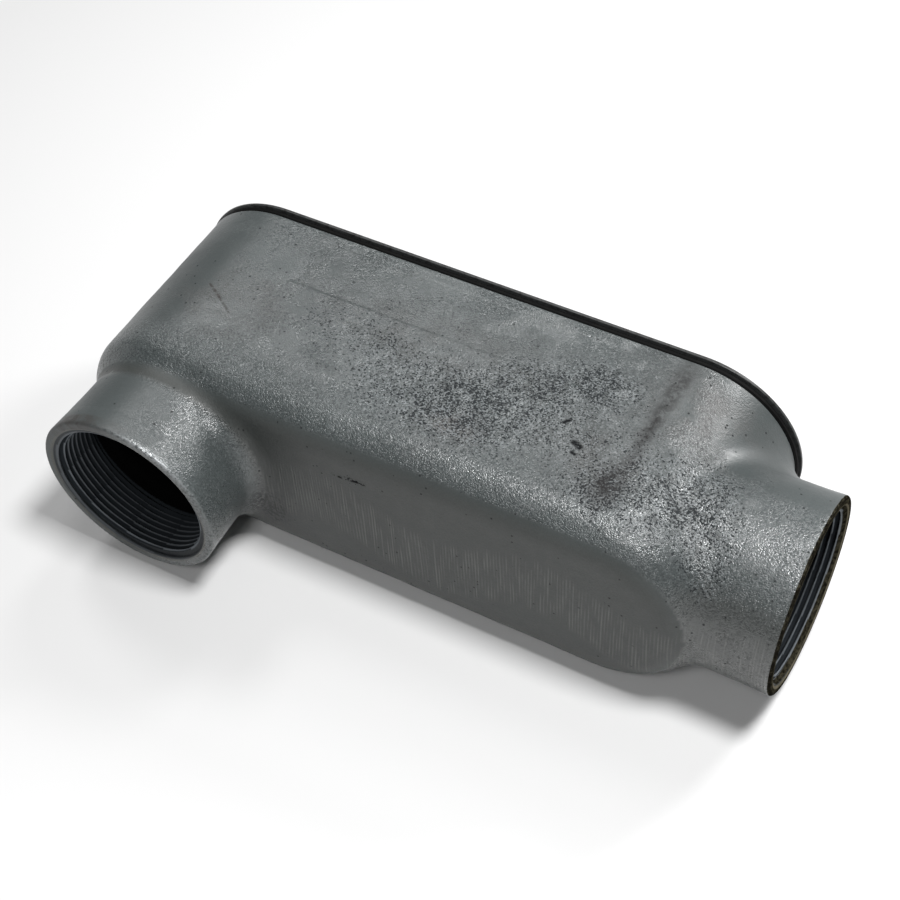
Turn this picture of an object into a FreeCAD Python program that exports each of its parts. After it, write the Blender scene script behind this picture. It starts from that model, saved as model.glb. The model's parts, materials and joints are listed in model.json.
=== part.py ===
"""Back-outlet (LB) conduit body, 2 inch trade size: a hollow iron casting with two
threaded hubs, closed by a gasket, a pressed steel cover and two cover screws.

Casting frame, used by every sketch: X runs along the body from its blind end towards
the end hub, +Y is the side that the cover closes and -Y the side of the back hub, and
Z = 0 is the plane through both hub axes. The row frame has the same directions. There
the part lies on one side wall, and the origin is under the middle of its box.
"""
import FreeCAD, Part
import math
import os
import re
import Sketcher
from FreeCAD import Vector

# Driving dimensions in millimetres. Each alias is a cell of the spreadsheet.
SIZES = {
    # the tub of the casting
    "body_length": 240.6,
    "body_width": 76.2,
    "body_depth": 82.5,
    "back_edge_round": 13.2,
    "wall": 4.2,
    # the two hubs, which are alike in their bore and rim
    "hub_rim_radius": 34.8,
    "hub_root_radius": 33.8,
    "hub_rim_bevel": 0.8,
    "end_hub_reach": 23.4,
    "end_hub_back_margin": 4.5,
    "end_hub_blend": 15.0,
    "back_hub_reach": 28.9,
    "back_hub_inset": 40.1,
    "back_hub_blend": 9.0,
    "thread_radius": 30.2,
    "thread_depth": 20.0,
    "mouth_chamfer": 0.9,
    "throat_radius": 26.2,
    # what closes the open side
    "gasket_thickness": 2.6,
    "gasket_setback": 0.2,
    "cover_thickness": 1.5,
    "cover_overhang": 0.5,
    "cover_edge_bevel": 0.5,
    "field_rise": 1.2,
    "field_margin": 8.5,
    "field_end_gap": 7.0,
    "field_bevel": 0.9,
    # cover screws and the bosses that they enter
    "screw_inset": 10.0,
    "boss_radius": 6.4,
    "boss_depth": 14.0,
    "boss_hole_depth": 11.0,
    "screw_radius": 2.4,
    "screw_length": 13.0,
    "tapping_gap": 0.1,
    "passage_gap": 0.5,
    "head_radius": 4.8,
    "head_height": 3.0,
    "head_edge": 1.1,
    "head_flat_radius": 3.0,
    "slot_width": 1.2,
    "slot_depth": 1.5,
}

# Values that follow from the driving dimensions.
DERIVED = {
    "end_radius": "body_width / 2",
    "cavity_depth": "body_depth - wall",
    "cavity_radius": "end_radius - wall",
    "core_floor_bevel": "(back_edge_round - wall) * (2 - sqrt(2))",
    "end_hub_face": "body_length + end_hub_reach",
    "end_hub_start": "body_length - end_radius",
    "end_hub_axis_depth": "body_depth - end_hub_back_margin - hub_root_radius",
    "back_hub_face": "body_depth + back_hub_reach",
    "back_hub_start": "body_depth - back_edge_round",
    "throat_step": "thread_radius - throat_radius",
    "boss_hole_radius": "screw_radius + tapping_gap",
    "passage_radius": "screw_radius + passage_gap",
    "far_screw_x": "body_length - screw_inset",
    "cover_top": "gasket_thickness + cover_thickness",
    "slot_cut_length": "2 * (head_radius + slot_width)",
    "field_radius": "end_radius - field_margin",
    "field_start": "screw_inset + head_radius + field_end_gap",
    "field_hollow_margin": "cover_thickness - field_rise + field_bevel",
    "origin_x": "-(end_hub_face - cover_overhang) / 2",
    "origin_y": "(back_hub_face - cover_top - head_height) / 2",
    "origin_z": "end_radius + cover_overhang",
}

# Places this near to each other, in millimetres, count as one place. The same number is
# the slack on the cosine between two directions that count as parallel.
CLOSE = 1e-3


def sized(expression):
    """The expression with each alias written as a reference to the spreadsheet."""
    def reference(match):
        word = match.group()
        return "Sizes." + word if word in SIZES or word in DERIVED else word
    return re.sub(r"[a-z_]+", reference, expression)


def make_sheet(doc):
    """Write the driving and the derived values, one row each, with their aliases."""
    sheet = doc.addObject("Spreadsheet::Sheet", "Sizes")
    cells = [(alias, str(value)) for alias, value in SIZES.items()]
    cells += [(alias, "=" + formula) for alias, formula in DERIVED.items()]
    for row, (alias, content) in enumerate(cells, start=1):
        sheet.set("A%d" % row, alias)
        sheet.set("B%d" % row, content)
        sheet.setAlias("B%d" % row, alias)
    doc.recompute()
    return sheet


def now(doc, expression):
    """The number that an expression over the sheet's aliases has at present."""
    result = doc.Sizes.evalExpression(expression)
    return float(getattr(result, "Value", result))


def make_body(doc, label):
    """A PartDesign body whose casting frame sits where the row frame needs it."""
    body = doc.addObject("PartDesign::Body", label)
    for axis in "xyz":
        body.setExpression("Placement.Base." + axis, sized("origin_" + axis))
    return body


def new_sketch(body, name, plane, **offset):
    """A sketch on an origin plane of the body, moved in that plane's own x, y or z."""
    sketch = body.newObject("Sketcher::SketchObject", name)
    support = [item for item in body.Origin.OriginFeatures if item.Role == plane][0]
    sketch.AttachmentSupport = [(support, "")]
    sketch.MapMode = "FlatFace"
    for axis, expression in offset.items():
        sketch.setExpression("AttachmentOffset.Base." + axis, sized(expression))
    return sketch


def dimension(sketch, kind, *places, expression):
    """Add a dimension at its present size and bind it to the spreadsheet."""
    present = now(sketch.Document, expression)
    index = sketch.addConstraint(Sketcher.Constraint(kind, *places, present))
    sketch.setExpression("Constraints[%d]" % index, sized(expression))


def place_centre(sketch, geometry, x, y="0"):
    """Fix a circle's or an arc's centre, on the sketch's own axis where a value is 0."""
    pin_point(sketch, geometry, 3, x, y)


def pin_point(sketch, geometry, point, x, y):
    """Fix a point of the geometry by two expressions."""
    for kind, axis, expression in (("DistanceX", -2, x), ("DistanceY", -1, y)):
        if expression == "0":
            sketch.addConstraint(Sketcher.Constraint("PointOnObject", geometry, point, axis))
        else:
            dimension(sketch, kind, -1, 1, geometry, point, expression=expression)


def draw_stadium(sketch, start, end, radius):
    """Two straight sides joined by half circles. start and end are the x of its tips."""
    doc = sketch.Document
    half = now(doc, radius)
    low = now(doc, start) + half
    high = now(doc, end) - half
    quarter = math.pi / 2
    up = Vector(0, 0, 1)
    left = Part.ArcOfCircle(Part.Circle(Vector(low, 0, 0), up, half), quarter, 3 * quarter)
    right = Part.ArcOfCircle(Part.Circle(Vector(high, 0, 0), up, half), -quarter, quarter)
    top = Part.LineSegment(Vector(high, half, 0), Vector(low, half, 0))
    bottom = Part.LineSegment(Vector(low, -half, 0), Vector(high, -half, 0))
    left, right, top, bottom = [sketch.addGeometry(g) for g in (left, right, top, bottom)]
    for first, second in ((right, top), (top, left), (left, bottom), (bottom, right)):
        sketch.addConstraint(Sketcher.Constraint("Tangent", first, 2, second, 1))
    dimension(sketch, "Radius", left, expression=radius)
    place_centre(sketch, left, "%s + %s" % (start, radius))
    place_centre(sketch, right, "%s - %s" % (end, radius))


def draw_circle(sketch, x, radius, y="0"):
    """A circle with its centre at x, y."""
    doc = sketch.Document
    centre = Vector(now(doc, x), now(doc, y), 0)
    circle = sketch.addGeometry(Part.Circle(centre, Vector(0, 0, 1), now(doc, radius)))
    dimension(sketch, "Radius", circle, expression=radius)
    place_centre(sketch, circle, x, y)


def draw_profile(sketch, points):
    """A closed polygon. Each point is a pair of expressions, x and y."""
    doc = sketch.Document
    places = [Vector(now(doc, x), now(doc, y), 0) for x, y in points]
    lines = []
    for place, following in zip(places, places[1:] + places[:1]):
        lines.append(sketch.addGeometry(Part.LineSegment(place, following)))
    for line, following in zip(lines, lines[1:] + lines[:1]):
        sketch.addConstraint(Sketcher.Constraint("Coincident", line, 2, following, 1))
    for line, (x, y) in zip(lines, points):
        pin_point(sketch, line, 1, x, y)


def pad(body, name, sketch, length, reverse=False):
    """Raise the sketch by length, along its normal or against it."""
    feature = body.newObject("PartDesign::Pad", name)
    feature.Profile = sketch
    feature.Reversed = reverse
    feature.setExpression("Length", sized(length))
    return settle(body, feature)


def pocket(body, name, sketch, depth, reverse=False):
    """Cut the sketch to a depth, against its normal or along it."""
    feature = body.newObject("PartDesign::Pocket", name)
    feature.Profile = sketch
    feature.Reversed = reverse
    feature.setExpression("Length", sized(depth))
    return settle(body, feature)


def turn(body, kind, name, sketch, axis):
    """A revolution or a groove of the sketch about one of its own axes."""
    feature = body.newObject("PartDesign::" + kind, name)
    feature.Profile = sketch
    feature.ReferenceAxis = (sketch, [axis])
    feature.Angle = 360
    return settle(body, feature)


def dress(body, kind, name, base, edges, size):
    """A fillet or a chamfer on the numbered edges of the base feature."""
    feature = body.newObject("PartDesign::" + kind, name)
    feature.Base = (base, ["Edge%d" % number for number in edges])
    feature.setExpression("Radius" if kind == "Fillet" else "Size", sized(size))
    return settle(body, feature)


def settle(body, feature):
    """Recompute, because the later features read this one's edges."""
    body.Document.recompute()
    return feature


def edges_at(feature, axis, place):
    """Numbers of the feature's edges that lie wholly in the plane axis = place."""
    found = []
    for number, edge in enumerate(feature.Shape.Edges, start=1):
        low = getattr(edge.BoundBox, axis + "Min")
        high = getattr(edge.BoundBox, axis + "Max")
        if abs(low - place) < CLOSE and abs(high - place) < CLOSE:
            found.append(number)
    return found


def edges_round_flank(feature, direction):
    """Numbers of the edges between a hub's conical flank and any other face."""
    flanks = []
    others = []
    for face in feature.Shape.Faces:
        surface = face.Surface
        is_flank = isinstance(surface, Part.Cone) and abs(surface.Axis.dot(direction)) > 1 - CLOSE
        (flanks if is_flank else others).extend(face.Edges)
    found = []
    for number, edge in enumerate(feature.Shape.Edges, start=1):
        if any(edge.isSame(other) for other in flanks):
            if any(edge.isSame(other) for other in others):
                found.append(number)
    return found


def add_hub(body, name, sketch, axis, direction, start, face, blend):
    """Raise a slightly flared hub and blend its foot into the tub."""
    along = [start, start, face, face]
    across = ["0", "hub_root_radius", "hub_rim_radius", "0"]
    if direction.x > 0:
        points = list(zip(along, across))
        rim = ("X", now(body.Document, face))
    else:
        points = [(radius, "-(%s)" % place) for place, radius in zip(along, across)]
        rim = ("Y", -now(body.Document, face))
    draw_profile(sketch, points)
    hub = turn(body, "Revolution", name, sketch, axis)
    rims = edges_at(hub, *rim)
    foot = [number for number in edges_round_flank(hub, direction) if number not in rims]
    blended = dress(body, "Fillet", name + "Blend", hub, foot, blend)
    return dress(body, "Chamfer", name + "Rim", blended, edges_at(blended, *rim), "hub_rim_bevel")


def bore_profile(face, inner_end):
    """A hub's bore from its mouth inwards: chamfer, thread, runout cone and throat."""
    return [
        (face, "0"),
        (face, "thread_radius + mouth_chamfer"),
        (face + " - mouth_chamfer", "thread_radius"),
        (face + " - thread_depth", "thread_radius"),
        (face + " - thread_depth - throat_step", "throat_radius"),
        (inner_end, "throat_radius"),
        (inner_end, "0"),
    ]


def make_core(doc):
    """The space inside the tub, as the foundry's sand core fills it.

    It keeps no placement of its own: the cut reads it in the casting's frame.
    """
    body = doc.addObject("PartDesign::Body", "core")
    outline = new_sketch(body, "CoreOutline", "XZ_Plane")
    draw_stadium(outline, "wall", "body_length - wall", "cavity_radius")
    block = pad(body, "CoreBlock", outline, "cavity_depth")
    floor = edges_at(block, "Y", -now(doc, "cavity_depth"))
    dress(body, "Chamfer", "CoreFloorEdge", block, floor, "core_floor_bevel")
    return body


def make_casting(doc):
    """The iron casting: tub, blended hubs, cavity, screw bosses and the two bores."""
    body = make_body(doc, "casting")

    outline = new_sketch(body, "TubOutline", "XZ_Plane")
    draw_stadium(outline, "0", "body_length", "end_radius")
    tub = pad(body, "Tub", outline, "body_depth")
    back = edges_at(tub, "Y", -now(doc, "body_depth"))
    dress(body, "Fillet", "BackEdge", tub, back, "back_edge_round")

    end_axis = new_sketch(body, "EndHubProfile", "XY_Plane", y="-end_hub_axis_depth")
    add_hub(body, "EndHub", end_axis, "H_Axis", Vector(1, 0, 0),
            "end_hub_start", "end_hub_face", "end_hub_blend")
    back_axis = new_sketch(body, "BackHubProfile", "XY_Plane", x="back_hub_inset")
    add_hub(body, "BackHub", back_axis, "V_Axis", Vector(0, -1, 0),
            "back_hub_start", "back_hub_face", "back_hub_blend")

    cavity = body.newObject("PartDesign::Boolean", "Cavity")
    cavity.Type = "Cut"
    cavity.setObjects([make_core(doc)])
    settle(body, cavity)

    bosses = new_sketch(body, "BossOutlines", "XZ_Plane")
    for centre in ("screw_inset", "far_screw_x"):
        draw_circle(bosses, centre, "boss_radius")
    pad(body, "Bosses", bosses, "boss_depth")
    holes = new_sketch(body, "BossHoleOutlines", "XZ_Plane")
    for centre in ("screw_inset", "far_screw_x"):
        draw_circle(holes, centre, "boss_hole_radius")
    pocket(body, "BossHoles", holes, "boss_hole_depth", reverse=True)

    end_bore = new_sketch(body, "EndBoreProfile", "XY_Plane", y="-end_hub_axis_depth")
    draw_profile(end_bore, bore_profile("end_hub_face", "end_hub_start"))
    turn(body, "Groove", "EndBore", end_bore, "H_Axis")
    back_bore = new_sketch(body, "BackBoreProfile", "XY_Plane", x="back_hub_inset")
    points = bore_profile("back_hub_face", "back_hub_start")
    draw_profile(back_bore, [(radius, "-(%s)" % place) for place, radius in points])
    turn(body, "Groove", "BackBore", back_bore, "V_Axis")
    return body


def make_gasket(doc):
    """The flat gasket: a band along the casting's rim with a lobe on each boss."""
    body = make_body(doc, "gasket")
    outline = new_sketch(body, "GasketOutline", "XZ_Plane")
    draw_stadium(outline, "gasket_setback", "body_length - gasket_setback",
                 "end_radius - gasket_setback")
    pad(body, "Sheet", outline, "gasket_thickness", reverse=True)
    opening = new_sketch(body, "GasketOpening", "XZ_Plane")
    draw_stadium(opening, "wall", "body_length - wall", "cavity_radius")
    pocket(body, "Opening", opening, "gasket_thickness")
    lobes = new_sketch(body, "LobeOutlines", "XZ_Plane")
    for centre in ("screw_inset", "far_screw_x"):
        draw_circle(lobes, centre, "boss_radius")
    pad(body, "Lobes", lobes, "gasket_thickness", reverse=True)
    add_screw_passages(body, "XZ_Plane", "gasket_thickness")
    return body


def add_screw_passages(body, plane, depth, **offset):
    """Clearance holes for the two cover screws."""
    passages = new_sketch(body, "ScrewPassageOutlines", plane, **offset)
    for centre in ("screw_inset", "far_screw_x"):
        draw_circle(passages, centre, "passage_radius")
    pocket(body, "ScrewPassages", passages, depth)


def make_cover(doc):
    """The pressed steel cover: a flat margin round a field that stands proud."""
    body = make_body(doc, "cover")
    under = "-gasket_thickness"
    outline = new_sketch(body, "CoverOutline", "XZ_Plane", z=under)
    draw_stadium(outline, "-cover_overhang", "body_length + cover_overhang",
                 "end_radius + cover_overhang")
    plate = pad(body, "Plate", outline, "cover_thickness", reverse=True)
    edge = edges_at(plate, "Y", now(doc, "cover_top"))
    dress(body, "Chamfer", "PlateEdge", plate, edge, "cover_edge_bevel")

    field = new_sketch(body, "FieldOutline", "XZ_Plane", z="-cover_top")
    draw_stadium(field, "field_start", "body_length - field_start", "field_radius")
    raised = pad(body, "Field", field, "field_rise", reverse=True)
    crest = edges_at(raised, "Y", now(doc, "cover_top + field_rise"))
    dress(body, "Chamfer", "FieldEdge", raised, crest, "field_bevel")

    hollow = new_sketch(body, "FieldHollowOutline", "XZ_Plane", z=under)
    draw_stadium(hollow, "field_start + field_hollow_margin",
                 "body_length - field_start - field_hollow_margin",
                 "field_radius - field_hollow_margin")
    pocket(body, "FieldHollow", hollow, "field_rise")
    add_screw_passages(body, "XZ_Plane", "cover_thickness", z=under)
    return body


def make_screw(doc, label, centre):
    """A round-head slotted screw. Its head seats on the cover's margin."""
    body = make_body(doc, label)
    profile = new_sketch(body, "ScrewProfile", "XY_Plane", x=centre)
    draw_profile(profile, [
        ("0", "cover_top + head_height"),
        ("head_flat_radius", "cover_top + head_height"),
        ("head_radius", "cover_top + head_edge"),
        ("head_radius", "cover_top"),
        ("screw_radius", "cover_top"),
        ("screw_radius", "cover_top - screw_length"),
        ("0", "cover_top - screw_length"),
    ])
    turn(body, "Revolution", "Blank", profile, "V_Axis")
    slot = new_sketch(body, "SlotProfile", "XY_Plane", x=centre)
    draw_profile(slot, [
        ("-slot_width / 2", "cover_top + head_height + slot_depth"),
        ("slot_width / 2", "cover_top + head_height + slot_depth"),
        ("slot_width / 2", "cover_top + head_height - slot_depth"),
        ("-slot_width / 2", "cover_top + head_height - slot_depth"),
    ])
    cut = pocket(body, "Slot", slot, "slot_cut_length")
    cut.Midplane = True
    return body


def check_document(doc, bodies):
    """Stop on any failed object or on a sub-part without one valid solid."""
    for item in doc.Objects:
        if "Invalid" in item.State or "Error" in item.State:
            raise RuntimeError("%s failed: %s" % (item.Name, item.State))
    for body in bodies:
        shape = body.Shape
        if shape.isNull() or not shape.isValid() or len(shape.Solids) != 1:
            raise RuntimeError("%s is not one valid solid" % body.Label)


def main():
    doc = FreeCAD.newDocument("ConduitBody")
    make_sheet(doc)
    bodies = [
        make_casting(doc),
        make_gasket(doc),
        make_cover(doc),
        make_screw(doc, "cover_screw_blind_end", "screw_inset"),
        make_screw(doc, "cover_screw_hub_end", "far_screw_x"),
    ]
    doc.recompute()
    check_document(doc, bodies)
    os.makedirs("parts", exist_ok=True)
    for body in bodies:
        body.Shape.exportStep("parts/%s.step" % body.Label)
        print("%-24s %10.1f mm3" % (body.Label, body.Shape.Volume))


main()
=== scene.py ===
import json
import math

import bmesh
import bpy
import numpy as np
from mathutils import Matrix, Vector, noise
from mathutils.bvhtree import BVHTree


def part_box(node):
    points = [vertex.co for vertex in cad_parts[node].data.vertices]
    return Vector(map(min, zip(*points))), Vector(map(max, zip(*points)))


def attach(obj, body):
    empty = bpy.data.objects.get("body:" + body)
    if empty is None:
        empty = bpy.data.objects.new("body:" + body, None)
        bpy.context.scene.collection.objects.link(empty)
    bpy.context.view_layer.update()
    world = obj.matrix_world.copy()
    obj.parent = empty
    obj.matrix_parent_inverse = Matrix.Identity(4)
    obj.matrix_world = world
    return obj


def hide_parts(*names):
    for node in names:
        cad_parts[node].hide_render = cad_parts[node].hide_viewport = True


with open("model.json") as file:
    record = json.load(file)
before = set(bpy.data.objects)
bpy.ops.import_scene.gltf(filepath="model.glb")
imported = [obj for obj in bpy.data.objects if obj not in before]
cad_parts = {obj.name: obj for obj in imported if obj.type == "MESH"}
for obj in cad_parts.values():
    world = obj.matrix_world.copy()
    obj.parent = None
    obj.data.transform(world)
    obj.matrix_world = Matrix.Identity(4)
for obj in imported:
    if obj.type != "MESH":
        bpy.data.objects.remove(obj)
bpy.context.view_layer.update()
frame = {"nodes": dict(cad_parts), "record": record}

MM = 0.001

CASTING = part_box("casting")
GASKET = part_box("gasket")
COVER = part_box("cover")
ORIGIN = np.array([CASTING[0].x, CASTING[1].y, (CASTING[0].z + CASTING[1].z) / 2])
MOUNTS = {mount["name"]: mount for mount in frame["record"]["mounts"]}


def local(point):
    """A place of the row frame in the casting's frame."""
    return (np.array(point, float) - ORIGIN) / MM


# Sizes read from the frame.
COVER_OVERHANG = local(CASTING[0])[0] - local(COVER[0])[0]
BODY_LENGTH = local(COVER[1])[0] - COVER_OVERHANG
BODY_RADIUS = (local(CASTING[1])[2] - local(CASTING[0])[2]) / 2
END_FACE = local(CASTING[1])[0]
BACK_FACE = local(CASTING[0])[1]
END_AXIS_Y = local(MOUNTS["end_hub"]["pos_m"])[1]
BACK_AXIS_X = local(MOUNTS["back_hub"]["pos_m"])[0]
THREAD_RADIUS = MOUNTS["end_hub"]["dims"]["r_mm"]
GASKET_TOP = local(GASKET[1])[1]
SCREW_NODES = ("cover_screw_blind_end", "cover_screw_hub_end")

# Sizes that the frame can't give.
WALL = 4.2
BODY_DEPTH = 82.5
HUB_RIM_RADIUS = 34.8
THREAD_PITCH = 25.4 / 11.5
THREAD_HEIGHT = 1.75
THREAD_TAPER = 1 / 32
THREAD_DEPTH = 20.0
# The thread's mouth is this much wider than the thread and narrows over the next length.
THREAD_FLARE = 1.5
THREAD_FLARE_LENGTH = 0.9
THREAD_ENTRY_LENGTH = 1.8
# The rim's rounded outer corner and the chamfer at the mouth.
RIM_ROUNDING = 1.1
MOUTH_CHAMFER = 1.6
# Between the cavity's bevelled floor edge and the rounded back edge, as radius plus depth.
CORE_CORNER = 109.5
COVER_THICKNESS = 1.5
FIELD_START = 21.8
FIELD_RADIUS = 29.6
FIELD_FOOT = 0.4
SCREW_HOLE_RADIUS = 2.9
SCREW_SLOT_HALF = 0.6
SCREW_SLOT_DEPTH = 1.5
SCREW_RADIUS = 2.4
SCREW_INSET = 10.0
SCREW_PLACES = (SCREW_INSET, BODY_LENGTH - SCREW_INSET)
# The bare sunk rectangle on the upper side wall: low and high x, then low and high y.
PAD = (58.0, 180.0, -26.8, -4.5)
PAD_DEPTH = 0.08
PAD_BLUR = 0.7
# The skin's grid, and the rounds of smoothing that take the grid's steps away.
VOXEL = 1.3
SMOOTHING_ROUNDS = 14
# How far the cast skin's mean lies under its drawn form, and the size and height of its
# broad and its middling lumps.
SKIN_SETBACK = 0.12
BROAD_LUMPS = (17.0, 0.16)
MIDDLING_LUMPS = (5.5, 0.055)
# Behind the mouths the skin's bores are widened to this radius, as far in as this depth.
TUCK_RADIUS = 32.7
TUCK_DEPTH = 3.6
SMOOTH_ANGLE = 35.0
GREY_DEEP = (0.0535, 0.0630, 0.0632)
GREY_PALE = (0.0650, 0.0760, 0.0762)
# How far the pieces with crisp edges stand in front of the smoothed skin that they meet.
PROUD = 0.03

# The studio, in metres and watts. A light is its name, azimuth, elevation and power.
LIGHTS = (("overhead_right", 90, 72, 7.6), ("front", 15, 52, 2.0), ("back_right", 150, 32, 3.6),
          ("back", -165, 52, 1.1), ("back_left", -120, 52, 1.4))
LIGHT_SIZE = 0.22
LIGHT_DISTANCE = 0.9
SURROUND_LIGHT = 0.04
FLOOR_GAP = 0.0003
# The floor's rings: radius, and how much the floor shines there.
FLOOR_RINGS = ((0.1, 0.0), (0.4, 0.0), (0.7, 0.5), (1.1, 0.9), (1.6, 1.0), (4.0, 1.0))


def place(points):
    """The row frame's metres for an array of the casting frame's millimetres."""
    return np.asarray(points, float) * MM + ORIGIN


def add_object(name, data):
    """An object of the scene that holds the data."""
    thing = bpy.data.objects.new(name, data)
    bpy.context.scene.collection.objects.link(thing)
    return thing


def shade(mesh, angle=SMOOTH_ANGLE):
    """Shade a mesh smooth, apart from edges sharper than the angle in degrees."""
    mesh.shade_smooth()
    mesh.set_sharp_from_angle(angle=math.radians(angle))


def make_mesh(name, points, faces):
    """An object from casting-frame points and faces."""
    mesh = bpy.data.meshes.new(name)
    mesh.from_pydata(place(points).tolist(), [], faces)
    mesh.validate()
    shade(mesh)
    return add_object(name, mesh)


def points_of(mesh):
    """The mesh's vertices in the casting frame."""
    flat = np.empty(len(mesh.vertices) * 3, np.float32)
    mesh.vertices.foreach_get("co", flat)
    return (flat.reshape(-1, 3).astype(float) - ORIGIN) / MM


def normals_of(mesh):
    """The mesh's vertex normals."""
    flat = np.empty(len(mesh.vertices) * 3, np.float32)
    mesh.vertex_normals.foreach_get("vector", flat)
    return flat.reshape(-1, 3).astype(float)


def set_points(mesh, points):
    """Move the mesh's vertices to casting-frame points."""
    mesh.vertices.foreach_set("co", place(points).astype(np.float32).ravel())
    mesh.update()


def mask(mesh, name, values):
    """Store one number for each vertex, for a material to read."""
    layer = mesh.attributes.new(name, "FLOAT", "POINT")
    layer.data.foreach_set("value", np.clip(values, 0, 1).astype(np.float32))


def ramp(value, width):
    """0 below zero, 1 above the width and even between them."""
    return np.clip(value / width, 0, 1)


def bell(*offsets):
    """1 where all offsets are 0, fading with their distance."""
    return np.exp(-sum(offset ** 2 for offset in offsets))


# ---------------------------------------------------------------- swept forms

def circle_path(centre, axis, count):
    """Centres, outward normals and axis of a round path."""
    axis = np.array(axis, float)
    side = np.array([0.0, 0.0, 1.0])
    other = np.cross(axis, side)
    turn = np.linspace(0, 2 * math.pi, count, endpoint=False)[:, None]
    normals = np.cos(turn) * side + np.sin(turn) * other
    return np.tile(np.array(centre, float), (count, 1)), normals, axis


def stadium_path(start, end, radius, step):
    """Centre line, outward normals and axis of a stadium whose tips are at start and end."""
    low = start + radius
    high = end - radius
    round_count = max(int(math.pi * radius / step), 8)
    side_count = max(int((high - low) / step), 1)
    turn = np.linspace(-math.pi / 2, math.pi / 2, round_count, endpoint=False)
    along = np.linspace(0, 1, side_count, endpoint=False)
    centre_x = np.concatenate([np.full(round_count, high), high + (low - high) * along,
                               np.full(round_count, low), low + (high - low) * along])
    angle = np.concatenate([turn, np.full(side_count, math.pi / 2),
                            turn + math.pi, np.full(side_count, 1.5 * math.pi)])
    zeros = np.zeros_like(centre_x)
    centres = np.stack([centre_x, zeros, zeros], 1)
    normals = np.stack([np.cos(angle), zeros, np.sin(angle)], 1)
    return centres, normals, np.array([0.0, 1.0, 0.0])


def sweep(name, path, profile, caps=False, smooth=SMOOTH_ANGLE):
    """Carry a closed profile of (radius, place along the axis) round a path.

    Each row of the profile may hold one number or one for every step of the path.
    With caps, the first and the last row are filled by a flat face instead of being joined.
    """
    centres, normals, axis = path
    count = len(centres)
    rows = [np.broadcast_to(radius, count)[:, None] * normals + centres
            + np.broadcast_to(along, count)[:, None] * axis for radius, along in profile]
    faces = ring_faces(len(rows), count, not caps)
    if caps:
        last = (len(rows) - 1) * count
        faces += [tuple(range(count)), tuple(range(last, last + count))]
    piece = make_mesh(name, np.concatenate(rows), faces)
    weld(piece)
    shade(piece.data, smooth)
    return piece


def ring_faces(rows, count, closed):
    """Faces between rings of count points. Where closed, the last ring meets the first."""
    faces = []
    for row in range(rows if closed else rows - 1):
        below = row * count
        above = (row + 1) % rows * count
        for step in range(count):
            following = (step + 1) % count
            faces.append((below + step, below + following, above + following, above + step))
    return faces


def weld(piece):
    """Merge points that coincide and turn every face outwards."""
    work = bmesh.new()
    work.from_mesh(piece.data)
    bmesh.ops.remove_doubles(work, verts=work.verts, dist=1e-7)
    bmesh.ops.dissolve_degenerate(work, edges=work.edges, dist=1e-8)
    bmesh.ops.recalc_face_normals(work, faces=work.faces)
    work.to_mesh(piece.data)
    work.free()


def arc(centre, radius, start, end, count):
    """Points of an arc in a profile, with its angles in degrees."""
    turns = np.radians(np.linspace(start, end, count))
    return [(centre[0] + radius * math.cos(t), centre[1] + radius * math.sin(t)) for t in turns]


def settle(piece):
    """Apply the piece's modifiers."""
    graph = bpy.context.evaluated_depsgraph_get()
    piece.data = bpy.data.meshes.new_from_object(piece.evaluated_get(graph))
    piece.modifiers.clear()


def combine(piece, other, operation):
    """Unite a closed piece with another one, or take the other's shape out of it."""
    modifier = piece.modifiers.new("combine", "BOOLEAN")
    modifier.operation = operation
    modifier.solver = "EXACT"
    modifier.object = other
    settle(piece)
    shade(piece.data)
    bpy.data.objects.remove(other)
    return piece


# ---------------------------------------------------------------- the cast surface

def lumps(point):
    """How far the sand mould left the skin above or below its drawn form."""
    size, height = BROAD_LUMPS
    broad = height * noise.noise(Vector(point) / size)
    size, height = MIDDLING_LUMPS
    return broad + height * noise.noise(Vector(point) / size + Vector((7.0, 1.0, 3.0)))


def roughen(mesh, share=1.0):
    """Give the mesh the slight unevenness of a sand casting, away from its machined faces."""
    points = points_of(mesh)
    lift = np.array([lumps(point) for point in points]) - SKIN_SETBACK
    x, y, z = points.T
    lift *= ramp(-y, 1.5) * ramp(END_FACE - 1.2 - x, 5) * ramp(y - BACK_FACE - 1.2, 5)
    low, high, bottom, top = PAD
    inside = np.minimum.reduce([x - low, high - x, y - bottom, top - y])
    lift -= PAD_DEPTH * ramp(inside + PAD_BLUR, 2 * PAD_BLUR) * (z > BODY_RADIUS - 2)
    set_points(mesh, points + normals_of(mesh) * (lift * share)[:, None])


def relax(points, edges, rounds):
    """Smooth a surface without shrinking it."""
    count = len(points)
    degree = np.bincount(edges.ravel(), minlength=count)[:, None]
    for factor in (0.5, -0.53) * rounds:
        total = np.stack([
            np.bincount(edges[:, 0], points[edges[:, 1], axis], count)
            + np.bincount(edges[:, 1], points[edges[:, 0], axis], count)
            for axis in range(3)], 1)
        points = points + factor * (total / degree - points)
    return points


def tuck(points):
    """Draw the skin back at both hubs' mouths, where the crisp rims take its place."""
    middle = np.array((BACK_AXIS_X, END_AXIS_Y, 0.0))
    for axis, face, inward in ((0, END_FACE, -1), (1, BACK_FACE, 1)):
        depth = (points[:, axis] - face) * inward
        across = points - middle
        across[:, axis] = 0
        radius = np.linalg.norm(across, axis=1)
        share = np.clip((TUCK_DEPTH - depth) / 1.2, 0, 1) * (radius < HUB_RIM_RADIUS - 0.4)
        points = points + across * (share * (np.maximum(TUCK_RADIUS / radius, 1) - 1))[:, None]
        back = np.clip(0.9 - depth, 0, 1) * (radius < HUB_RIM_RADIUS + 0.5)
        points[:, axis] += back * inward
    return points


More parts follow.
